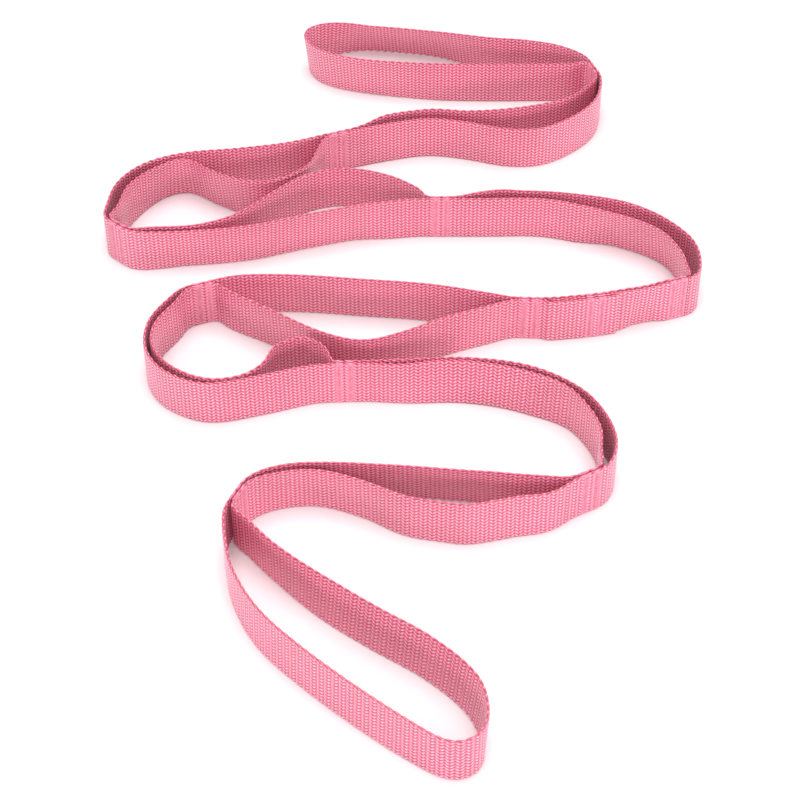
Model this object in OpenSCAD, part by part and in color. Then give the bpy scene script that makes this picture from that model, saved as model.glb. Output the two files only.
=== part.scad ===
// Stretching strap: a long band of two webbing layers, sewn together at regular
// tacks so that a row of hand and foot loops stands open between them. It is laid
// out standing on one edge, in a snake, with loop 1 farthest away (+Y) and loop 10
// nearest (-Y). Each loop has a straight layer and a slightly longer, slack one.
// Every layer is one flat strip of webbing bent round the snake, so it is a ribbon
// drawn in plan and raised by the width of the webbing.

/* [Webbing] */
// Width of the webbing, which is the height of the strap standing on its edge
web_w = 25; // [20:1:40]
// Thickness of one layer of webbing
web_t = 1.6; // [1.2:0.1:2]

/* [Loops] */
// Distance along the straight layer from the middle of one tack to the next
loop_pitch = 165; // [135:5:260]
// Length of the stitched stretch at each tack
tack_len = 10; // [9:1:13]

/* [Closure] */
// Length over which the webbing's two cut ends lap
lap_len = 33; // [26:1:42]
// Place of the stitching through the lap, as a share of its length from the under end
splice_share = 0.67; // [0.4:0.01:0.8]

/* [Stitching] */
// Thickness of the sewing thread
thread_d = 0.8; // [0.5:0.1:1]
// Width of one zigzag row of stitches
zigzag_w = 2; // [1.5:0.1:2.5]
// Distance between the two zigzag rows of a tack
row_gap = 5.5; // [4:0.5:6]
// Height of one leg of the zigzag
stitch_leg = 2; // [1.5:0.1:3]
// Distance from the first stitch to the webbing's edge
edge_margin = 1.5; // [1:0.1:3]
// How far the thread stands out of the webbing's face
thread_proud = 0.3; // [0.2:0.1:0.5]

/* [Hidden] */

web_color = "#f27a98";
thread_color = "#f5a0a4";

// Air between two layers that lie face to face
ply_gap = 0.1;
// Running gap between two bodies where the webbing bends at the end of a tack
hinge_gap = 0.4;
// Points along each span of a layer, and the angle step of a rounded tack end
span_steps = 6;
nose_step = 15;

// The lay of the strap in plan, in mm at the pitch below, and scaled with loop_pitch.
lay_pitch = 165;
// Tacks 1 to 10: middle x, middle y, and the heading from loop 1 towards loop 10.
// Tacks 5 and 6 are the two ends of the closure, where the webbing's ends are sewn.
tack_at = [
    [107.5, 243.5, -70], [-33, 182.5, 200], [-142.5, 104, 318], [21, 125.5, 0],
    [136, 60.5, 200], [63, 45.5, 178], [-96, 57, 200], [-26, -0.5, 2],
    [84, -72.5, 208], [-71, -84.5, 245]
];
// Points on the inner face of each layer, between its two tacks, for loops 1 to 10.
// The end loops are one strip that goes from their tack all the way round to it.
slack_lay = [
    [[102, 256], [92, 263.5], [75, 268.5], [45, 275.5], [14, 282], [-15, 286.5],
     [-39, 288], [-51, 283.5], [-53, 275], [-45, 263], [-25, 254], [5, 249.5],
     [40, 248], [75, 248], [96, 248.5]],
    [[109, 226], [104.5, 212], [93, 198.5], [76, 187.5], [58, 186.5], [35, 193],
     [15, 196], [-8, 191]],
    [[-44, 168], [-48, 155], [-61, 143.5], [-76, 140.5], [-96, 149.5], [-113, 160.5],
     [-129, 152], [-141, 136], [-144.5, 119]],
    [[-125, 100.5], [-102, 102.5], [-82, 112], [-60, 134.5], [-46, 144.5],
     [-28, 148.5], [-6, 143], [9, 133]],
    [[40, 128.5], [65, 130.5], [95, 126.5], [124, 113], [142, 92], [147.5, 75]],
    [[45, 42], [20, 32], [0, 21.5], [-18, 16], [-37, 22], [-60, 37], [-84, 53]],
    [[-109, 44], [-117, 28], [-117, 12], [-107, -3], [-90, -12.5], [-73, -10],
     [-63, -1], [-58, 11], [-46, 16.5], [-36, 10]],
    [[0, 0.5], [30, 2], [60, -3.5], [82.5, -18.5], [93.5, -37.5], [96, -56]],
    [[70, -82], [60, -88.5], [45, -93], [26, -95], [2, -87], [-18, -76.5],
     [-38, -70.5], [-58, -73.5]],
    [[-75.5, -98], [-74, -112], [-70, -130], [-59, -152], [-40, -173], [-15, -195.5],
     [5, -211], [20, -219.5], [30, -216.5], [33.5, -206], [28.5, -188], [11, -169],
     [-12, -152.5], [-35, -134.5], [-54, -116.5], [-67, -101]]
];
straight_lay = [
    [],
    [[102, 224], [88, 212], [55, 203], [15, 200], [-12, 192.5]],
    [[-58, 173], [-85, 167.5], [-113, 163.5], [-133, 154.5], [-145, 139], [-148.5, 121]],
    [[-125, 98], [-100, 99.5], [-75, 103.5], [-45, 113.5], [-15, 121.5]],
    [[45, 125.5], [75, 125], [105, 115], [130, 101], [140.5, 82], [142, 71]],
    [[45, 48.5], [15, 55.5], [-20, 59.5], [-50, 62.5], [-78, 62.5]],
    [[-112, 44], [-119, 28], [-118.5, 10], [-109, -5], [-90, -14.5], [-65, -9.5],
     [-42, -2]],
    [[5, -1.5], [30, -1.5], [55, -7.5], [75, -19], [86, -36], [89.5, -54]],
    [[64, -76], [30, -72.5], [-5, -69], [-38, -67.5], [-58, -71]],
    []
];
// Points on the middle line of the closure, between tacks 5 and 6.
closure_lay = [[118, 54.5], [100, 49.5], [82, 46.5]];

// Vectors in plan
function unit(v) = v / norm(v);
function heading(a) = [cos(a), sin(a)];
function left_of(d) = [-d[1], d[0]];
function backwards(q) = [for (i = [len(q) - 1:-1:0]) q[i]];

// Points of the lay at the chosen pitch
function scaled(lay) = [for (p = lay) loop_pitch / lay_pitch * p];

// Tacks: the middle, the heading, the end at s = -1 or 1, and past that end the
// place where the next body's layers start
function tack_mid(k) =
    loop_pitch / lay_pitch * [tack_at[k - 1][0], tack_at[k - 1][1]];
function tack_dir(k) = heading(tack_at[k - 1][2]);
function tack_end(k, s) = tack_mid(k) + s * tack_len / 2 * tack_dir(k);
function tack_start(k, s) = tack_end(k, s) + s * (web_t + hinge_gap) * tack_dir(k);

// A smooth line through points p: each span is a cubic whose end directions are
// parallel to the chord joining the neighbouring points, and as long as the span.
function line_dir(p, i, first, last) =
    i == 0 ? first : i == len(p) - 1 ? last : unit(p[i + 1] - p[i - 1]);
function cubic(a, b, da, db, t) =
    a * (1 + t * t * (2 * t - 3)) + b * t * t * (3 - 2 * t)
    + norm(b - a) * (da * t * (1 - t) * (1 - t) + db * t * t * (t - 1));
function smooth_line(p, first, last) = concat(
    [for (i = [0:len(p) - 2], n = [0:span_steps - 1])
        cubic(p[i], p[i + 1], line_dir(p, i, first, last),
              line_dir(p, i + 1, first, last), n / span_steps)],
    [p[len(p) - 1]]
);

// The line of points q moved sideways by d, to the left where d is positive
function beside(q, d, first, last) =
    [for (i = [0:len(q) - 1]) q[i] + d * left_of(line_dir(q, i, first, last))];

// Quarter-round end of a layer at a tack, about the line where the webbing bends
function nose(at, dir, side) =
    [for (a = [0:nose_step:90]) at + side * ply_gap / 2 * left_of(dir)
        + web_t * (cos(a) * dir + sin(a) * side * left_of(dir))];

// Outline of a layer in plan. q is the line that its inner face follows, side is 1
// where the layer lies to the left of q and -1 to the right, and root and tip are
// the points of its rounded ends.
function ribbon(q, side, first, last, root, tip) = concat(
    beside(q, side * ply_gap / 2, first, last),
    tip,
    backwards(beside(q, side * (ply_gap / 2 + web_t), first, last)),
    backwards(root)
);

// Loops 2 to 5 start at their tack nearer the closure and run out to the tack that
// they carry, against the strap's heading, and loops 6 to 9 run with it.
function ply_outline(k, lay, side) =
    let (s = k < 6 ? -1 : 1,
         carried = k + s,
         out = s * tack_dir(k),
         last = s * tack_dir(carried),
         tip = tack_end(carried, s),
         points = scaled(s > 0 ? lay[k - 1] : backwards(lay[k - 1])),
         q = smooth_line(concat([tack_start(k, s)], points, [tack_end(carried, -s)]),
                         out, last))
    ribbon(concat(q, [tip]), s * side, out, last, [], nose(tip, last, s * side));

// An end loop is one strip, which goes from its tack round the loop and back again.
function end_outline(k, s) =
    let (out = s * tack_dir(k),
         start = tack_start(k, s))
    ribbon(smooth_line(concat([start], scaled(slack_lay[k - 1]), [start]), out, -out),
           -1, out, -out, [], []);

// The closure's middle line, from the outer end of tack 6 back to that of tack 5
closure_line = concat(
    [tack_end(6, 1)],
    smooth_line(concat([tack_end(6, -1)], backwards(scaled(closure_lay)),
                       [tack_end(5, 1)]), -tack_dir(6), -tack_dir(5)),
    [tack_end(5, -1)]
);
function line_len(q, i = 0) =
    i == len(q) - 1 ? 0 : norm(q[i + 1] - q[i]) + line_len(q, i + 1);
// The point at distance d along line q, and the direction there
function walk(q, d, i = 0) =
    let (step = norm(q[i + 1] - q[i]))
    d <= step || i == len(q) - 2
        ? [q[i] + (q[i + 1] - q[i]) * d / step, unit(q[i + 1] - q[i])]
        : walk(q, d - step, i + 1);

// The under end stops clear of tack 6, where the over end rises onto it.
rise_len = 3 * web_t;
under_stop = tack_len + rise_len;
over_stop = under_stop + lap_len;
lap_steps = 40;
function rise(d) =
    let (t = min(1, max(0, (d - tack_len) / rise_len))) t * t * (3 - 2 * t);
under_line = [for (n = [0:lap_steps])
    walk(closure_line,
         under_stop + n / lap_steps * (line_len(closure_line) - under_stop))[0]];
over_line = [for (n = [0:lap_steps])
    let (d = n / lap_steps * over_stop, at = walk(closure_line, d))
    at[0] - rise(d) * (web_t + ply_gap) * left_of(at[1])];
over_end_dir = walk(closure_line, over_stop)[1];
under_end_dir = walk(closure_line, under_stop)[1];

closure_back_outline =
    ribbon(closure_line, 1, -tack_dir(6), -tack_dir(5),
           nose(tack_end(6, 1), tack_dir(6), -1), nose(tack_end(5, -1), -tack_dir(5), 1));
closure_under_outline =
    ribbon(under_line, -1, under_end_dir, -tack_dir(5),
           [], nose(tack_end(5, -1), -tack_dir(5), -1));
closure_over_outline =
    ribbon(over_line, -1, -tack_dir(6), over_end_dir,
           nose(tack_end(6, 1), tack_dir(6), 1), []);

// The origin stands under the middle of the whole outline.
outline = concat(
    end_outline(1, -1), end_outline(10, 1),
    [for (k = [2:9], p = ply_outline(k, slack_lay, 1)) p],
    [for (k = [2:9], p = ply_outline(k, straight_lay, -1)) p]
);
outline_x = [for (p = outline) p[0]];
outline_y = [for (p = outline) p[1]];
centre = [min(outline_x) + max(outline_x), min(outline_y) + max(outline_y), 0] / 2;

module webbing(points) {
    color(web_color)
        translate(-centre)
            linear_extrude(web_w)
                polygon(points);
}

// Loop 1, at the strap's far end
module far_end_loop() {
    webbing(end_outline(1, -1));
}

// Loop 10, at the strap's near end
module near_end_loop() {
    webbing(end_outline(10, 1));
}

// The longer layer of loop k, which stands open
module slack_ply(k) {
    webbing(ply_outline(k, slack_lay, 1));
}

// The shorter layer of loop k
module straight_ply(k) {
    webbing(ply_outline(k, straight_lay, -1));
}

// The layer that runs unbroken behind the closure
module closure_back_ply() {
    webbing(closure_back_outline);
}

// The webbing's cut end that comes from tack 5 and lies under the other
module closure_under_end() {
    webbing(closure_under_outline);
}

// The webbing's cut end that comes from tack 6 and lies over the other
module closure_over_end() {
    webbing(closure_over_outline);
}

// One zigzag row of stitches across the webbing, in its own plane
module zigzag_row() {
    legs = floor((web_w - 2 * edge_margin) / stitch_leg);
    leg_h = (web_w - 2 * edge_margin) / legs;
    swing = zigzag_w - thread_d;
    leg_w = thread_d * norm([swing, leg_h]) / leg_h;
    row = [for (i = [0:legs])
        [(i % 2 - 0.5) * (zigzag_w - leg_w), edge_margin + i * leg_h]];
    polygon(concat([for (p = row) p - [leg_w / 2, 0]],
                   backwards([for (p = row) p + [leg_w / 2, 0]])));
}

// Two rows of thread through the layers, from side reach right to side reach left
module stitching(mid, dir, right, left) {
    color(thread_color)
        translate([mid[0], mid[1], 0] - centre)
            rotate([0, 0, atan2(dir[1], dir[0])])
                for (s = [-1, 1])
                    translate([s * row_gap / 2, left, 0])
                        rotate([90, 0, 0])
                            linear_extrude(left + right)
                                zigzag_row();
}

// Reach of the thread through one layer on a side of the middle line
one_layer = ply_gap / 2 + web_t + thread_proud;
two_layers = one_layer + web_t + ply_gap;

module tack_stitching(k) {
    stitching(tack_mid(k), tack_dir(k), one_layer, one_layer);
}

// The stitching through all three layers of the lap
module splice_stitching() {
    at = walk(closure_line, under_stop + splice_share * lap_len);
    stitching(at[0], at[1], two_layers, one_layer);
}

far_end_loop();  // loop_01_far_end
slack_ply(2);  // loop_02_slack_ply
slack_ply(3);  // loop_03_slack_ply
slack_ply(4);  // loop_04_slack_ply
slack_ply(5);  // loop_05_slack_ply
slack_ply(6);  // loop_06_slack_ply
slack_ply(7);  // loop_07_slack_ply
slack_ply(8);  // loop_08_slack_ply
slack_ply(9);  // loop_09_slack_ply
straight_ply(2);  // loop_02_straight_ply
straight_ply(3);  // loop_03_straight_ply
straight_ply(4);  // loop_04_straight_ply
straight_ply(5);  // loop_05_straight_ply
straight_ply(6);  // loop_06_straight_ply
straight_ply(7);  // loop_07_straight_ply
straight_ply(8);  // loop_08_straight_ply
straight_ply(9);  // loop_09_straight_ply
near_end_loop();  // loop_10_near_end
closure_back_ply();
closure_under_end();
closure_over_end();
tack_stitching(1);  // tack_01_stitching
tack_stitching(2);  // tack_02_stitching
tack_stitching(3);  // tack_03_stitching
tack_stitching(4);  // tack_04_stitching
tack_stitching(5);  // tack_05_stitching
tack_stitching(6);  // tack_06_stitching
tack_stitching(7);  // tack_07_stitching
tack_stitching(8);  // tack_08_stitching
tack_stitching(9);  // tack_09_stitching
tack_stitching(10);  // tack_10_stitching
splice_stitching();
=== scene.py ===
# Stretching strap: one long strip of pink webbing laid in two layers and bar-tacked
# together, so that ten hand and foot loops stand open between the layers.
import math

import bpy
import numpy as np
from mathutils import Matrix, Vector


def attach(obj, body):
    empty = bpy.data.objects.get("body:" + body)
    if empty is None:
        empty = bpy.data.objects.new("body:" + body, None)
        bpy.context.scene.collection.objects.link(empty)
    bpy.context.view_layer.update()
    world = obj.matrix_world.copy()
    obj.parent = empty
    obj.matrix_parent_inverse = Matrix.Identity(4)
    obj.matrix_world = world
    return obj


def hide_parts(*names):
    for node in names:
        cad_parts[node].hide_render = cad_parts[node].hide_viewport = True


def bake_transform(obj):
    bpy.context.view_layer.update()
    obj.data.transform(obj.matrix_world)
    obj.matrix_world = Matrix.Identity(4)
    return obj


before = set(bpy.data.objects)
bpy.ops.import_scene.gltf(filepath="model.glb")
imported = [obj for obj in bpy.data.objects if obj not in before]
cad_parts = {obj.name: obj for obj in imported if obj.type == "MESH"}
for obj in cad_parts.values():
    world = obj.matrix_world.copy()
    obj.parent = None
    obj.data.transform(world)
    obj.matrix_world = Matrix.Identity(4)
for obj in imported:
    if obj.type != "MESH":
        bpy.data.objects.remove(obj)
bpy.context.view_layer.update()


# Camera: looks down on the laid-out strap from the side of loop 10, with a long
# lens, so that the far loops are drawn a little smaller than the near ones.
camera_place = Vector((0.00094, -0.7419, 0.6599))
camera_aim = Vector((0.00094, -0.03424, 0.0))
camera_data = bpy.data.cameras.new("camera")
camera_data.sensor_width = 36.0
camera_data.lens = 91.69
camera = bpy.data.objects.new("camera", camera_data)
camera.location = camera_place
camera.rotation_euler = (camera_aim - camera_place).to_track_quat("-Z", "Y").to_euler()
bpy.context.scene.collection.objects.link(camera)
bpy.context.scene.camera = camera


# Loops 1 and 10, at the two ends of the strap: each is one run of webbing that
# leaves its tack, goes round a foot or a hand, and comes back to the same tack.
# The webbing is woven polypropylene, 25 mm wide and 1.6 mm thick.
MM = 0.001
centre = np.array([-0.941733, 34.2374])
web_w = 25.0
web_t = 1.6
tack_len = 10.0
ply_gap = 0.1
hinge_gap = 0.4

# Tacks 1 to 10: middle x, middle y, and the heading from loop 1 towards loop 10
tacks = np.array([
    [107.5, 243.5, -70], [-33, 182.5, 200], [-142.5, 104, 318], [21, 125.5, 0],
    [136, 60.5, 200], [63, 45.5, 178], [-96, 57, 200], [-26, -0.5, 2],
    [84, -72.5, 208], [-71, -84.5, 245],
])
end_lay = {
    1: [[102, 256], [92, 263.5], [75, 268.5], [45, 275.5], [14, 282], [-15, 286.5],
        [-39, 288], [-51, 283.5], [-53, 275], [-45, 263], [-25, 254], [5, 249.5],
        [40, 248], [75, 248], [96, 248.5]],
    10: [[-75.5, -98], [-74, -112], [-70, -130], [-59, -152], [-40, -173],
         [-15, -195.5], [5, -211], [20, -219.5], [30, -216.5], [33.5, -206],
         [28.5, -188], [11, -169], [-12, -152.5], [-35, -134.5], [-54, -116.5],
         [-67, -101]],
}


def tack_heading(k):
    """Unit direction of tack k, from the cosine and sine of its heading."""
    turn = math.radians(tacks[k - 1, 2])
    return np.array([math.cos(turn), math.sin(turn)])


def tack_end(k, s):
    """The end of tack k at s = -1 or 1: half its length from its middle."""
    return tacks[k - 1, :2] + s * tack_len / 2 * tack_heading(k)


def left_of(d):
    """Directions turned a quarter turn to the left: (x, y) becomes (-y, x)."""
    return np.stack([-d[..., 1], d[..., 0]], -1)


def smooth_line(points, first, last):
    """A line through points in plan. Each span is a cubic whose end slopes are
    parallel to the chord between the neighbouring points and as long as the span:
    p = a(1 + t^2(2t - 3)) + b t^2(3 - 2t) + |b - a|(da t(1 - t)^2 + db t^2(t - 1))."""
    points = np.asarray(points, float)
    chords = points[2:] - points[:-2]
    chords /= np.linalg.norm(chords, axis=1)[:, None]
    slopes = np.vstack([first, chords, last])
    a, b = points[:-1, None], points[1:, None]
    da, db = slopes[:-1, None], slopes[1:, None]
    t = np.linspace(0, 1, 24, endpoint=False)[None, :, None]
    span = np.linalg.norm(b - a, axis=2, keepdims=True)
    line = (a * (1 + t * t * (2 * t - 3)) + b * t * t * (3 - 2 * t)
            + span * (da * t * (1 - t) ** 2 + db * t * t * (t - 1)))
    return np.vstack([line.reshape(-1, 2), points[-1:]])


def spaced(line, steps):
    """steps + 1 points evenly spaced along a line, by its running length."""
    run = np.r_[0, np.cumsum(np.linalg.norm(np.diff(line, axis=0), axis=1))]
    at = np.linspace(0, run[-1], steps + 1)
    return np.stack([np.interp(at, run, line[:, 0]), np.interp(at, run, line[:, 1])], 1)


def line_length(line):
    """Sum of the lengths of a line's segments."""
    return np.linalg.norm(np.diff(line, axis=0), axis=1).sum()


def directions(line):
    """Unit direction at each point, from the chord between its two neighbours."""
    d = np.gradient(line, axis=0)
    return d / np.linalg.norm(d, axis=1)[:, None]


def eased(line, reach=2.5):
    """Each point of an evenly spaced line becomes the mean of its neighbours,
    weighted by a bell curve of this reach in mm. The line is carried past both ends
    by its point reflection, so the ends and their directions stay."""
    step = line_length(line) / (len(line) - 1)
    half = int(3 * reach / step)
    bell = np.exp(-0.5 * (np.arange(-half, half + 1) * step / reach) ** 2)
    bell /= bell.sum()
    before = 2 * line[0] - line[half:0:-1]
    after = 2 * line[-1] - line[-2:-half - 2:-1]
    padded = np.vstack([before, line, after])
    return np.stack([np.convolve(padded[:, i], bell, "valid") for i in (0, 1)], 1)


# The weave: rows of warp yarn that run along the webbing in a wave. Each leg of the
# wave is one float of yarn, which is highest at its middle and dives at its ends.
wave_len = 4.1
steps_per_wave = 8
rows = 13
row_pitch = 1.85
row_swing = 0.68
groove_depth = 0.46
leg_dip = 0.6
edge_round = 0.6
wave_fade = 2.2
scallop_reach = 1.2
press_share = 0.6
pressed_level = 0.7
selvedge = (web_w - rows * row_pitch) / 2
row_v = selvedge + row_pitch * (np.arange(rows)[:, None] + np.arange(4) / 4).ravel()
across = np.r_[0, 0.1, 0.28, row_v, web_w - selvedge, web_w - 0.28, web_w - 0.1, web_w]


def wave(phase):
    """Rounded triangle wave between -1 and 1: sine less a ninth of the third sine."""
    return (np.sin(phase) - np.sin(3 * phase) / 9) / (1 + 1 / 9)


def near_edge(v, reach):
    """1 at either selvedge, falling to 0 at this distance from it."""
    return np.clip(1 - np.minimum(v, web_w - v) / reach, 0, 1)


def float_relief(phase, v):
    """Height of the weave from 0 in a groove to 1 on a float: a bump across each
    row, the 0.7th power of a sine, times 1 less leg_dip times the cube of the sine of
    the phase, which dips where two legs meet. The selvedge's edge cord is 0.5 plus
    0.3 times the cosine of the phase."""
    place = np.clip((v - selvedge) / row_pitch, 0, rows) % 1.0
    row = np.sin(np.pi * place) ** 0.7
    edge_cord = near_edge(v, selvedge) > 0
    row = np.where(edge_cord, 0.5 + 0.3 * np.cos(phase), row)
    leg = 1 - leg_dip * np.abs(np.sin(phase)) ** 3
    return np.clip(row, 0, 1) * leg


def build_mesh(name, points, quads, flat_from):
    """A mesh from arrays of points in mm before centring and of faces. Faces from
    flat_from on, which are cut ends, are shaded flat."""
    mesh = bpy.data.meshes.new(name)
    placed = (points - [centre[0], centre[1], 0]) * MM
    mesh.from_pydata(placed.tolist(), [], quads)
    smooth = np.arange(len(quads)) < flat_from
    mesh.polygons.foreach_set("use_smooth", smooth)
    mesh.update()
    piece = bpy.data.objects.new(name, mesh)
    bpy.context.scene.collection.objects.link(piece)
    return piece


def strip(line, phase, lean, pressed):
    """Points, faces and maps of a closed strip of webbing on a centre line in plan.
    A ring of points goes up the left face and down the right one. A point stands off
    the line by half the thickness, less the depth of the weave where it is low, and
    is moved along the height by the wave. The edges are drawn in by a scallop, two
    cosines of the phase, and stitches press the weave towards pressed_level. lean
    tips the strip to the left by that many mm at its top, about its foot."""
    d = directions(line)
    left = left_of(d)
    v = across[None, :]
    faces = []
    for side, lag in ((1, 0.0), (-1, np.pi)):
        turn = phase[:, None] + lag
        relief = float_relief(turn, v)
        relief = relief + press_share * pressed[:, None] * (pressed_level - relief)
        round_edge = np.sqrt(1 - near_edge(v, edge_round) ** 2)
        fade = 1 - near_edge(v, wave_fade) ** 2
        up = v + row_swing * fade * wave(turn)
        scallop = (0.17 * (1 - np.cos(phase[:, None]))
                   + 0.1 * (1 - np.cos(2 * phase[:, None]))) * near_edge(v, scallop_reach)
        up = up + scallop * np.where(v < web_w / 2, 1, -1)
        out = side * (web_t / 2 * round_edge - groove_depth * (1 - relief) * round_edge)
        faces.append((out, up, relief))
    (out_a, up_a, relief_a), (out_b, up_b, relief_b) = faces
    back = slice(-2, 0, -1)
    out = np.hstack([out_a, out_b[:, back]])
    up = np.hstack([up_a, up_b[:, back]])
    relief = np.hstack([relief_a, relief_b[:, back]])
    tip = np.arcsin(np.clip(lean / web_w, -0.9, 0.9))[:, None]
    lateral = out * np.cos(tip) + up * np.sin(tip)
    height = up * np.cos(tip) - out * np.sin(tip) + web_t / 2 * np.abs(np.sin(tip))
    plan = line[:, None, :] + left[:, None, :] * lateral[:, :, None]
    return np.dstack([plan, height]), relief


def strip_faces(n, ring):
    """Quads between neighbouring rings, then the quads and triangles that close the
    two ends, from the left face to the right. Each face runs anticlockwise seen
    from outside."""
    i, j = np.meshgrid(np.arange(n - 1), np.arange(ring), indexing="ij")
    k = (j + 1) % ring
    walls = np.stack([i * ring + j, i * ring + k, (i + 1) * ring + k, (i + 1) * ring + j], -1)
    m = ring // 2
    a = np.arange(m)
    b = (ring - a) % ring
    caps = np.stack([a, b, (b - 1) % ring, a + 1], -1)
    end = caps[:, ::-1] + (n - 1) * ring
    closing = [list(dict.fromkeys(q)) for q in np.vstack([caps, end]).tolist()]
    return walls.reshape(-1, 4).tolist(), closing


fold_gap = 2.0
run_gap = 4.0


def webbing(name, runs):
    """One piece of webbing from one or more runs. A run is its centre line, the
    phase of the weave's wave, its lean and how far stitches press it, at each step.
    It gets two maps: its place on the weave in mm, and a flat lay-out in which each
    run is folded into a few rows that fill a square, with gaps between the folds and
    the runs."""
    ring = 2 * (len(across) - 1)
    side_v = np.r_[across, across[-2::-1]]
    girth = np.arange(ring + 1) / ring * 2 * (web_w + web_t)
    points, walls, ends, relief = [], [], [], []
    wall_weave, end_weave, wall_flat, end_flat = [], [], [], []
    first = 0
    for index, (line, phase, lean, pressed) in enumerate(runs):
        body, height = strip(line, phase, lean, pressed)
        n = len(line)
        run_walls, run_ends = strip_faces(n, ring)
        points.append(body.reshape(-1, 3))
        relief.append(height.ravel())
        walls += (np.array(run_walls) + first).tolist()
        ends += [[c + first for c in q] for q in run_ends]
        first += n * ring
        along = phase / (2 * np.pi) * wave_len
        run = np.arange(n) * line_length(line) / (n - 1)
        i, j = np.meshgrid(np.arange(n - 1), np.arange(ring), indexing="ij")
        at_i = np.stack([i, i, i + 1, i + 1], -1)
        at_j = np.stack([j, j + 1, j + 1, j], -1)
        end_i = np.array([c // ring for q in run_ends for c in q])
        end_j = np.array([c % ring for q in run_ends for c in q])
        wall_weave.append(np.stack([along[at_i], side_v[at_j]], -1).reshape(-1, 2))
        end_weave.append(np.stack([along[end_i], side_v[end_j]], -1))
        per_fold = math.ceil((n - 1) / max(1, round(math.sqrt(run[-1] / girth[-1]))))
        fold = (i // per_fold)[..., None]
        low = index * (girth[-1] + run_gap) + 1
        wall_flat.append(np.stack([run[at_i] - run[fold * per_fold] + run_gap,
                                   girth[at_j] + fold * (girth[-1] + fold_gap) + low],
                                  -1).reshape(-1, 2))
        end_u = np.where(end_i == 0, 0.5, run[per_fold] + 6) + web_t * (end_j > ring // 2)
        end_flat.append(np.stack([end_u, side_v[end_j] + low], -1))
    piece = build_mesh(name, np.vstack(points), walls + ends, len(walls))
    mesh = piece.data
    flat = np.vstack(wall_flat + end_flat)
    for title, map_points in (("weave", np.vstack(wall_weave + end_weave)),
                              ("OFBake", flat / (flat.max() + 1))):
        mesh.uv_layers.new(name=title).data.foreach_set(
            "uv", map_points.astype(np.float32).ravel())
    mesh.attributes.new("relief", "FLOAT", "POINT").data.foreach_set(
        "value", np.concatenate(relief).astype(np.float32))
    mesh.materials.append(woven_polypropylene)
    return piece


# Woven polypropylene, with the pink dye in the yarn. Its colour follows the weave's relief: a
# painted shade of deep rose in the grooves between the floats, and a painted highlight of
# near-white pink on the floats' crowns.
def linear(hex_colour):
    """An sRGB hex colour as linear red, green, blue and alpha."""
    parts = np.array([int(hex_colour[i:i + 2], 16) for i in (1, 3, 5)]) / 255
    parts = np.where(parts <= 0.04045, parts / 12.92, ((parts + 0.055) / 1.055) ** 2.4)
    return (*parts.tolist(), 1.0)


def add(tree, kind, inputs=None, **settings):
    """A node of a kind, with its settings, and with each named or numbered input
    either linked to a socket or set to a value."""
    made = tree.nodes.new(kind)
    for key, value in settings.items():
        setattr(made, key, value)
    for key, value in (inputs or {}).items():
        if isinstance(value, bpy.types.NodeSocket):
            tree.links.new(value, made.inputs[key])
        else:
            made.inputs[key].default_value = value
    return made


def new_material(name):
    """An empty material with a Principled shader, as (material, tree, shader)."""
    material = bpy.data.materials.new(name)
    material.use_nodes = True
    tree = material.node_tree
    return material, tree, tree.nodes["Principled BSDF"]


woven_polypropylene, tree, shader = new_material("woven_polypropylene")
weave_map = add(tree, "ShaderNodeUVMap", uv_map="weave").outputs["UV"]
relief_of = add(tree, "ShaderNodeAttribute", attribute_name="relief").outputs["Fac"]
# Painted shade and highlight: this ramp of the relief runs from dark rose in the grooves up to
# near-white pink on the float crowns.
painted_shade_and_highlight = add(tree, "ShaderNodeValToRGB", {"Fac": relief_of})
painted_shade_and_highlight.color_ramp.elements[0].position = 0.0
painted_shade_and_highlight.color_ramp.elements[0].color = linear("#9c1836")
painted_shade_and_highlight.color_ramp.elements[1].position = 1.0
painted_shade_and_highlight.color_ramp.elements[1].color = linear("#f7d6e2")
for place, colour in ((0.25, "#d04161"), (0.5, "#e57392"), (0.8, "#ed9bb5")):
    painted_shade_and_highlight.color_ramp.elements.new(place).color = linear(colour)
# Yarn filaments, 0.14 mm apart, which run along the floats
filament_at = add(tree, "ShaderNodeMapping", {"Vector": weave_map, "Scale": (0.35, 7.0, 1.0)})
filament = add(tree, "ShaderNodeTexNoise",
               {"Vector": filament_at.outputs["Vector"], "Scale": 1.0, "Detail": 2.0})
# Uneven dye and handling, in patches of about 20 mm
place = add(tree, "ShaderNodeTexCoord").outputs["Object"]
patch = add(tree, "ShaderNodeTexNoise", {"Vector": place, "Scale": 50.0, "Detail": 3.0})
shade = add(tree, "ShaderNodeMapRange",
            {"Value": filament.outputs["Fac"], "From Min": 0.3, "From Max": 0.7,
             "To Min": 0.92, "To Max": 1.07})
drift = add(tree, "ShaderNodeMapRange",
            {"Value": patch.outputs["Fac"], "From Min": 0.3, "From Max": 0.7,
             "To Min": 0.96, "To Max": 1.03})
tone = add(tree, "ShaderNodeMath", {0: shade.outputs[0], 1: drift.outputs[0]},
           operation="MULTIPLY")
# The dye's colour with the painted shade and highlight, times the filament and patch tones.
dye_and_painted_light = add(tree, "ShaderNodeVectorMath",
           {0: painted_shade_and_highlight.outputs["Color"], "Scale": tone.outputs[0]}, operation="SCALE")
tree.links.new(dye_and_painted_light.outputs[0], shader.inputs["Base Color"])
gloss = add(tree, "ShaderNodeMapRange",
            {"Value": filament.outputs["Fac"], "From Min": 0.3, "From Max": 0.7,
             "To Min": 0.3, "To Max": 0.18})
tree.links.new(gloss.outputs[0], shader.inputs["Roughness"])
shader.inputs["IOR"].default_value = 1.49
shader.inputs["Specular IOR Level"].default_value = 1.0
shader.inputs["Sheen Weight"].default_value = 0.12
shader.inputs["Sheen Roughness"].default_value = 0.5
fine = add(tree, "ShaderNodeBump", {"Height": filament.outputs["Fac"], "Strength": 0.35,
                                    "Distance": 0.00006})
tree.links.new(fine.outputs["Normal"], shader.inputs["Normal"])


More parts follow.
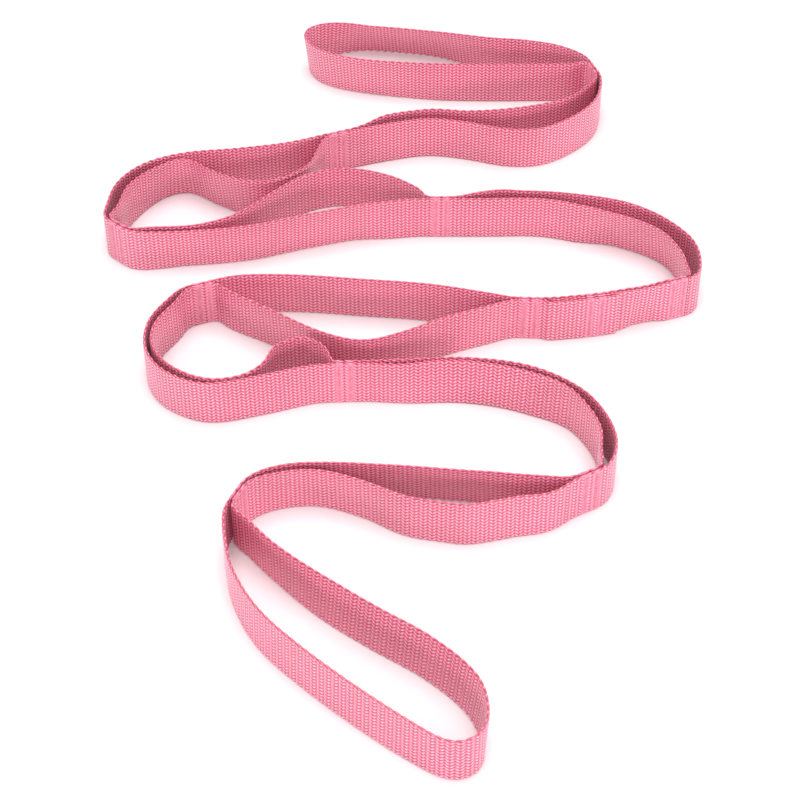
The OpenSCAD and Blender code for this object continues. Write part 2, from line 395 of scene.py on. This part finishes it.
def laid(line, shift):
    """The run of a layer: the eased line moved sideways by shift to the layer's
    middle, spaced in whole waves of the weave, with the phase at each step."""
    fine_line = eased(spaced(line, round(line_length(line) / 0.5)))
    moved = fine_line + shift * left_of(directions(fine_line))
    waves = round(line_length(moved) / wave_len)
    even = spaced(moved, waves * steps_per_wave)
    phase = np.arange(len(even)) / steps_per_wave * 2 * np.pi
    return even, phase


def leaning(steps, leans):
    """Lean in mm at each step, eased between the given (share of length, lean)."""
    share = np.linspace(0, 1, steps)
    at, value = np.array(leans, float).T
    i = np.clip(np.searchsorted(at, share, "right") - 1, 0, len(at) - 2)
    t = np.clip((share - at[i]) / (at[i + 1] - at[i]), 0, 1)
    return value[i] + (value[i + 1] - value[i]) * t * t * (3 - 2 * t)


# The webbing bends over this much of its length beside each tack, in whole waves.
bend_steps = 2 * steps_per_wave
upright = ((0, 0), (1, 0))
bend_runs = {}
one_layer = (ply_gap + web_t) / 2


def part_of(run, first, last):
    """The steps of a run from first up to and with last."""
    return tuple(x[first:last + 1] for x in run)


def stepped(run, feet, leans):
    """The run moved sideways by feet and tipped by leans, both in mm to the left."""
    line, phase, pressed = run
    steps = len(line)
    moved = line + leaning(steps, feet)[:, None] * left_of(directions(line))
    return moved, phase, leaning(steps, leans), pressed


def end_loop(name, k, s, feet, leans):
    """An end loop's webbing, from beside its tack all the way round and back."""
    out = s * tack_heading(k)
    hinge = tack_end(k, s)
    start = hinge + (web_t + hinge_gap) * out
    line = np.vstack([hinge, smooth_line([start, *end_lay[k], start], out, -out), hinge])
    even, phase = laid(line, -one_layer)
    steps = len(even)
    run = stepped((even, phase, np.zeros(steps)), feet, leans)
    bend_runs[k] = [part_of(run, 0, bend_steps), part_of(run, steps - 1 - bend_steps, steps)]
    piece = webbing(name, [part_of(run, bend_steps, steps - 1 - bend_steps)])
    return piece


far_end = end_loop("loop_01_far_end_strip", 1, -1,
                   ((0, 0), (0.05, 0), (0.1, -1.2), (0.16, -1), (0.3, -10), (0.38, -10),
                    (0.52, 3), (0.62, 3), (0.8, 0), (1, 0)),
                   ((0, 0), (0.12, 0), (0.3, 9.5), (0.38, 9.5), (0.52, -3), (0.62, -3),
                    (0.8, 0), (1, 0)))
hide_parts("loop_01_far_end")
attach(far_end, "loop_01")
near_end = end_loop("loop_10_near_end_strip", 10, 1,
                    ((0, 0), (0.48, 0), (0.6, 1.7), (0.8, 1.7), (0.92, 0), (1, 0)),
                    ((0, 0), (0.08, 0), (0.2, 1), (0.38, 1), (0.5, 0), (0.6, -3.4),
                     (0.8, -3.4), (0.92, 0), (1, 0)))
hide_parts("loop_10_near_end")
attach(near_end, "loop_10")


# Loops 2 to 9: two layers each, one cut a little longer than the other, so that
# the loop stands open. Both run out from beside the tack that the loop hangs on,
# and carry the next tack on their far ends.
slack_lay = {
    2: [[109, 226], [104.5, 212], [93, 198.5], [76, 187.5], [58, 186.5], [35, 193],
        [15, 196], [-8, 191]],
    3: [[-44, 168], [-48, 155], [-61, 143.5], [-76, 140.5], [-96, 149.5],
        [-113, 160.5], [-129, 152], [-141, 136], [-144.5, 119]],
    4: [[-125, 100.5], [-102, 102.5], [-82, 112], [-60, 134.5], [-46, 144.5],
        [-28, 148.5], [-6, 143], [9, 133]],
    5: [[40, 128.5], [65, 130.5], [95, 126.5], [124, 113], [142, 92], [147.5, 75]],
    6: [[45, 42], [20, 32], [0, 21.5], [-18, 16], [-37, 22], [-60, 37], [-84, 53]],
    7: [[-109, 44], [-117, 28], [-117, 12], [-107, -3], [-90, -12.5], [-73, -10],
        [-63, -1], [-58, 11], [-46, 16.5], [-36, 10]],
    8: [[0, 0.5], [30, 2], [60, -3.5], [82.5, -18.5], [93.5, -37.5], [96, -56]],
    9: [[70, -82], [60, -88.5], [45, -93], [26, -95], [2, -87], [-18, -76.5],
        [-38, -70.5], [-58, -73.5]],
}
straight_lay = {
    2: [[102, 224], [88, 212], [55, 203], [15, 200], [-12, 192.5]],
    3: [[-58, 173], [-85, 167.5], [-113, 163.5], [-133, 154.5], [-145, 139],
        [-148.5, 121]],
    4: [[-125, 98], [-100, 99.5], [-75, 103.5], [-45, 113.5], [-15, 121.5]],
    5: [[45, 125.5], [75, 125], [105, 115], [130, 101], [140.5, 82], [142, 71]],
    6: [[45, 48.5], [15, 55.5], [-20, 59.5], [-50, 62.5], [-78, 62.5]],
    7: [[-112, 44], [-119, 28], [-118.5, 10], [-109, -5], [-90, -14.5], [-65, -9.5],
        [-42, -2]],
    8: [[5, -1.5], [30, -1.5], [55, -7.5], [75, -19], [86, -36], [89.5, -54]],
    9: [[64, -76], [30, -72.5], [-5, -69], [-38, -67.5], [-58, -71]],
}
row_gap = 5.5
bar_half = 1.25


def press_of(from_mid):
    """How far the bar tacks press the webbing, from their distance along it: 1 under
    each of the two bars, fading to 0 within a millimetre."""
    off = np.abs(np.abs(from_mid) - row_gap / 2)
    return np.clip((bar_half + 0.9 - off) / 0.9, 0, 1)


def loop_layer(name, k, lay, side, feet, leans):
    """One layer of loop k: side is 1 for the left layer, seen along the strap from
    loop 1 to loop 10, and -1 for the right one."""
    s = -1 if k < 6 else 1
    carried = k + s
    out, last = s * tack_heading(k), s * tack_heading(carried)
    hinge, tip = tack_end(k, s), tack_end(carried, s)
    points = lay[k] if s > 0 else lay[k][::-1]
    inner = smooth_line([hinge + (web_t + hinge_gap) * out, *points,
                         tack_end(carried, -s)], out, last)
    even, phase = laid(np.vstack([hinge, inner, tip]), s * side * one_layer)
    steps = len(even)
    to_end = np.linspace(line_length(even), 0, steps)
    run = stepped((even, phase, press_of(to_end - tack_len / 2)), feet, leans)
    bend_runs.setdefault(k, []).append(part_of(run, 0, bend_steps))
    piece = webbing(name, [part_of(run, bend_steps, steps)])
    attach(piece, f"loop_0{k}")
    return piece


def held(value, first, last):
    """A foot shift or lean that is 0 near both tacks and value from first to last."""
    return (0, 0), (first - 0.15, 0), (first, value), (last, value), (last + 0.15, 0), (1, 0)


# Foot shift and lean of the layers that don't stand upright, in mm to the left
slack_stand = {
    3: (held(2.5, 0.32, 0.5), held(-3.5, 0.32, 0.5)),
    4: (held(-1.2, 0.22, 0.35), upright),
    5: (((0, 0), (0.07, 0), (0.22, -3), (0.4, -2.5), (0.6, 0), (0.72, 0), (0.8, -1.5),
         (0.92, 0), (1, 0)), upright),
    6: (held(-1.5, 0.4, 0.75), held(1.5, 0.4, 0.75)),
    7: (held(-0.8, 0.22, 0.33), upright),
    9: (((0, 0), (0.07, 0), (0.2, -3.5), (0.37, -2.5), (0.5, 0), (0.62, -1), (0.75, -1.5),
         (0.85, -1.5), (0.93, 0), (1, 0)),
        ((0, 0), (0.07, 0), (0.2, -1), (0.5, -0.5), (0.62, 1), (0.75, 1.5), (0.85, 1.5),
         (0.93, 0), (1, 0))),
}
straight_stand = {
    2: (((0, 0), (0.06, 0), (0.16, 3.5), (0.28, 3), (0.42, 0), (1, 0)), upright),
    4: (held(-3, 0.25, 0.75), held(3, 0.25, 0.75)),
    5: (held(-4.5, 0.22, 0.4), held(4.5, 0.22, 0.4)),
    6: (held(-1, 0.3, 0.7), held(1, 0.3, 0.7)),
    7: (held(-0.5, 0.22, 0.4), held(0.8, 0.65, 0.75)),
    8: (((0, 0), (0.1, 0), (0.5, 0.5), (0.65, 3), (0.78, 3), (0.9, 0), (1, 0)),
        ((0, 0), (0.1, 0), (0.25, 3), (0.5, 3), (0.7, 0), (1, 0))),
    9: (held(-4.5, 0.3, 0.7), held(4.5, 0.3, 0.7)),
}
for k in range(2, 10):
    slack = loop_layer(f"loop_0{k}_slack_layer", k, slack_lay, 1,
                       *slack_stand.get(k, (upright, upright)))
    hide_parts(f"loop_0{k}_slack_ply")
    straight = loop_layer(f"loop_0{k}_straight_layer", k, straight_lay, -1,
                          *straight_stand.get(k, (upright, upright)))
    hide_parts(f"loop_0{k}_straight_ply")


# Closure, between loops 5 and 6: one layer runs through, and the webbing's two cut
# ends lap on its near side, the over end on the under end, sewn through all three.
closure_lay = [[118, 54.5], [100, 49.5], [82, 46.5]]
lap_len = 33.0
splice_share = 0.67
rise_len = 3 * web_t
under_stop = tack_len + rise_len
over_stop = under_stop + lap_len
closure_line = np.vstack([
    tack_end(6, 1),
    smooth_line([tack_end(6, -1), *closure_lay[::-1], tack_end(5, 1)],
                -tack_heading(6), -tack_heading(5)),
    tack_end(5, -1),
])
closure_even = eased(spaced(closure_line, round(line_length(closure_line) / 0.5)))
closure_run = np.linspace(0, line_length(closure_line), len(closure_even))
splice_at = under_stop + splice_share * lap_len
whole = closure_run[-1]
foot_shift = 2.0
top_lean = -2.6
stand_off_gap = 2.0
stand_off_run = 9.0


def closure_layer(name, first, last, shift, pressed_at):
    """A layer of the closure from first to last in mm along it, moved sideways by
    shift, a function of the distance, with bars of stitches at pressed_at. Past the
    over end it stands off to the left by foot_shift and leans by top_lean."""
    waves = round((last - first) / wave_len)
    run = np.linspace(first, last, waves * steps_per_wave + 1)
    base = np.stack([np.interp(run, closure_run, closure_even[:, i]) for i in (0, 1)], 1)
    line = base + shift(run)[:, None] * left_of(directions(base))
    pressed = np.max([press_of(run - at) for at in pressed_at], 0)
    phase = run / wave_len * 2 * np.pi
    begin, end = over_stop + stand_off_gap, whole - tack_len
    stretch = (begin, begin + stand_off_run, end - stand_off_run, end)
    off_end = np.interp(run, stretch, (0, 1, 1, 0))
    off_end = off_end ** 2 * (3 - 2 * off_end)
    line = line + (foot_shift * off_end)[:, None] * left_of(directions(base))
    piece = webbing(name, [(line, phase, top_lean * off_end, pressed)])
    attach(piece, "closure")
    return piece


def rise(run):
    """Smoothstep from 0 at the end of tack 6 to 1 where the under end begins."""
    t = np.clip((run - tack_len) / rise_len, 0, 1)
    return t * t * (3 - 2 * t)


tack_6_mid, tack_5_mid = tack_len / 2, whole - tack_len / 2
back_layer = closure_layer("closure_back_layer", 0, whole, lambda r: one_layer + 0 * r,
                           (tack_6_mid, splice_at, tack_5_mid))
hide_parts("closure_back_ply")
under_end = closure_layer("closure_under_strip", under_stop, whole,
                          lambda r: -one_layer + 0 * r, (splice_at, tack_5_mid))
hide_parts("closure_under_end")
over_end = closure_layer("closure_over_strip", 0, over_stop,
                         lambda r: -one_layer - rise(r) * (web_t + ply_gap),
                         (tack_6_mid, splice_at))
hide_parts("closure_over_end")


# The webbing beside each tack: the first 8 mm of both layers, as a piece of its own.
for k in range(1, 11):
    piece = webbing(f"tack_{k:02d}_bend", bend_runs[k])
    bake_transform(piece)


# Bar tacks: two bars of zigzag stitches across the webbing at each tack, and two
# more through the lap. The thread is spun polyester, finer and duller than the
# webbing, and it lies on both outer faces.
thread_r = 0.2
thread_sides = 5
leg_steps = 5
uneven = 0.12
turn_dip = 0.25
thread_sunk = 0.06
stitch_rise = 0.7
edge_margin = 1.5

spun_polyester, tree, shader = new_material("spun_polyester_thread")
place = add(tree, "ShaderNodeTexCoord").outputs["Object"]
fuzz = add(tree, "ShaderNodeTexNoise", {"Vector": place, "Scale": 2500.0, "Detail": 2.0})
strands = add(tree, "ShaderNodeValToRGB", {"Fac": fuzz.outputs["Fac"]})
strands.color_ramp.elements[0].position = 0.3
strands.color_ramp.elements[0].color = linear("#d46c86")
strands.color_ramp.elements[1].position = 0.7
strands.color_ramp.elements[1].color = linear("#ee9bae")
tree.links.new(strands.outputs["Color"], shader.inputs["Base Color"])
shader.inputs["Roughness"].default_value = 0.62
shader.inputs["Sheen Weight"].default_value = 0.2
twist = add(tree, "ShaderNodeBump", {"Height": fuzz.outputs["Fac"], "Strength": 0.4,
                                     "Distance": 0.00005})
tree.links.new(twist.outputs["Normal"], shader.inputs["Normal"])


def bar(mid, heading, along, off, low, high, rng):
    """One bar of stitches as a tube. Its middle line zigzags by bar_half to each
    side of the bar while it climbs by stitch_rise a leg, and dips into the webbing
    at the turns. Rings of thread_sides points stand across the line."""
    legs = round((high - low) / stitch_rise)
    turns = np.arange(legs + 1)
    x_turn = (turns % 2 * 2 - 1) * (bar_half - thread_r) + rng.uniform(-uneven, uneven, legs + 1)
    z_turn = np.linspace(low, high, legs + 1)
    t = np.linspace(0, legs, legs * leg_steps + 1)
    x = np.interp(t, turns, x_turn)
    z = np.interp(t, turns, z_turn)
    lift = np.sin(np.pi * (t % 1.0)) ** 0.5
    depth_in = off - np.sign(off) * (1 - lift) * turn_dip
    path = np.stack([x + along, depth_in, z], 1)
    ahead = np.gradient(path, axis=0)
    ahead /= np.linalg.norm(ahead, axis=1)[:, None]
    outward = np.array([0, 1.0, 0])
    side = np.cross(ahead, outward)
    side /= np.linalg.norm(side, axis=1)[:, None]
    over = np.cross(side, ahead)
    turn = np.arange(thread_sides) / thread_sides * 2 * np.pi
    ring = (path[:, None] + thread_r * (np.cos(turn)[None, :, None] * side[:, None]
                                        + np.sin(turn)[None, :, None] * over[:, None]))
    left = left_of(heading)
    plan = mid + ring[..., :1] * heading + ring[..., 1:2] * left
    points = np.concatenate([plan, ring[..., 2:]], -1).reshape(-1, 3)
    n = len(path)
    i, j = np.meshgrid(np.arange(n - 1), np.arange(thread_sides), indexing="ij")
    k = (j + 1) % thread_sides
    low_ring, high_ring = i * thread_sides, (i + 1) * thread_sides
    quads = np.stack([low_ring + j, low_ring + k, high_ring + k, high_ring + j], -1)
    caps = [list(range(thread_sides))[::-1],
            [(n - 1) * thread_sides + c for c in range(thread_sides)]]
    return points, quads.reshape(-1, 4).tolist(), caps


def bar_tack(name, mid, heading, right, left, low, high, seed):
    """Two bars on each outer face, right and left being the faces' distances from
    the middle line."""
    rng = np.random.default_rng(seed)
    points, quads, caps, first = [], [], [], 0
    for along in (-row_gap / 2, row_gap / 2):
        for off in (-right, left):
            p, q, c = bar(mid, heading, along, off, low, high, rng)
            points.append(p)
            quads += (np.array(q) + first).tolist()
            caps += [[v + first for v in face] for face in c]
            first += len(p)
    piece = build_mesh(name, np.vstack(points), quads + caps, len(quads))
    piece.data.materials.append(spun_polyester)
    return piece


pressed_face = ply_gap / 2 + web_t - thread_sunk
for k in range(1, 11):
    body = "closure" if k in (5, 6) else f"loop_0{k + (1 if k < 5 else -1)}"
    tack = bar_tack(f"tack_{k:02d}_thread", tacks[k - 1, :2], tack_heading(k),
                    pressed_face, pressed_face, edge_margin, web_w - edge_margin, k)
    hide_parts(f"tack_{k:02d}_stitching")
    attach(tack, body)
step_at = np.searchsorted(closure_run, splice_at)
splice = bar_tack("splice_thread", closure_even[step_at], directions(closure_even)[step_at],
                  pressed_face + web_t + ply_gap, pressed_face, edge_margin,
                  web_w - edge_margin, 11)
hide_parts("splice_stitching")
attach(splice, "closure")


# Studio: a white table that runs on as the backdrop, in an even white room. Broad
# soft lights hang overhead and in front, and two small ones stand low at the sides.
floor_mesh = bpy.data.meshes.new("floor")
half = 6.0
table_corners = [(-half, -half, 0), (half, -half, 0), (half, half, 0), (-half, half, 0)]
floor_mesh.from_pydata(table_corners, [], [(0, 1, 2, 3)])
floor = bpy.data.objects.new("floor", floor_mesh)
bpy.context.scene.collection.objects.link(floor)
white_laminate, tree, shader = new_material("white_laminate")
shader.inputs["Base Color"].default_value = (0.93, 0.93, 0.93, 1)
shader.inputs["Roughness"].default_value = 0.9
floor_mesh.materials.append(white_laminate)

world = bpy.data.worlds.new("white_room")
world.use_nodes = True
world.node_tree.nodes["Background"].inputs["Color"].default_value = (1, 1, 1, 1)
world.node_tree.nodes["Background"].inputs["Strength"].default_value = 0.6
bpy.context.scene.world = world
bpy.context.scene.view_settings.view_transform = "Standard"

for name, place, size, power in (("overhead", (0.0, 0.2, 1.8), 1.2, 19.0),
                                 ("front", (0.0, -1.1, 1.5), 1.2, 9.0),
                                 ("right", (1.5, -1.3, 0.5), 0.3, 13.0),
                                 ("left", (-1.5, -1.3, 0.45), 0.3, 10.0)):
    lamp = bpy.data.lights.new(name, "AREA")
    lamp.size = size
    lamp.energy = power
    lamp_piece = bpy.data.objects.new(name, lamp)
    lamp_piece.location = place
    lamp_piece.rotation_euler = (-Vector(place)).to_track_quat("-Z", "Y").to_euler()
    bpy.context.scene.collection.objects.link(lamp_piece)
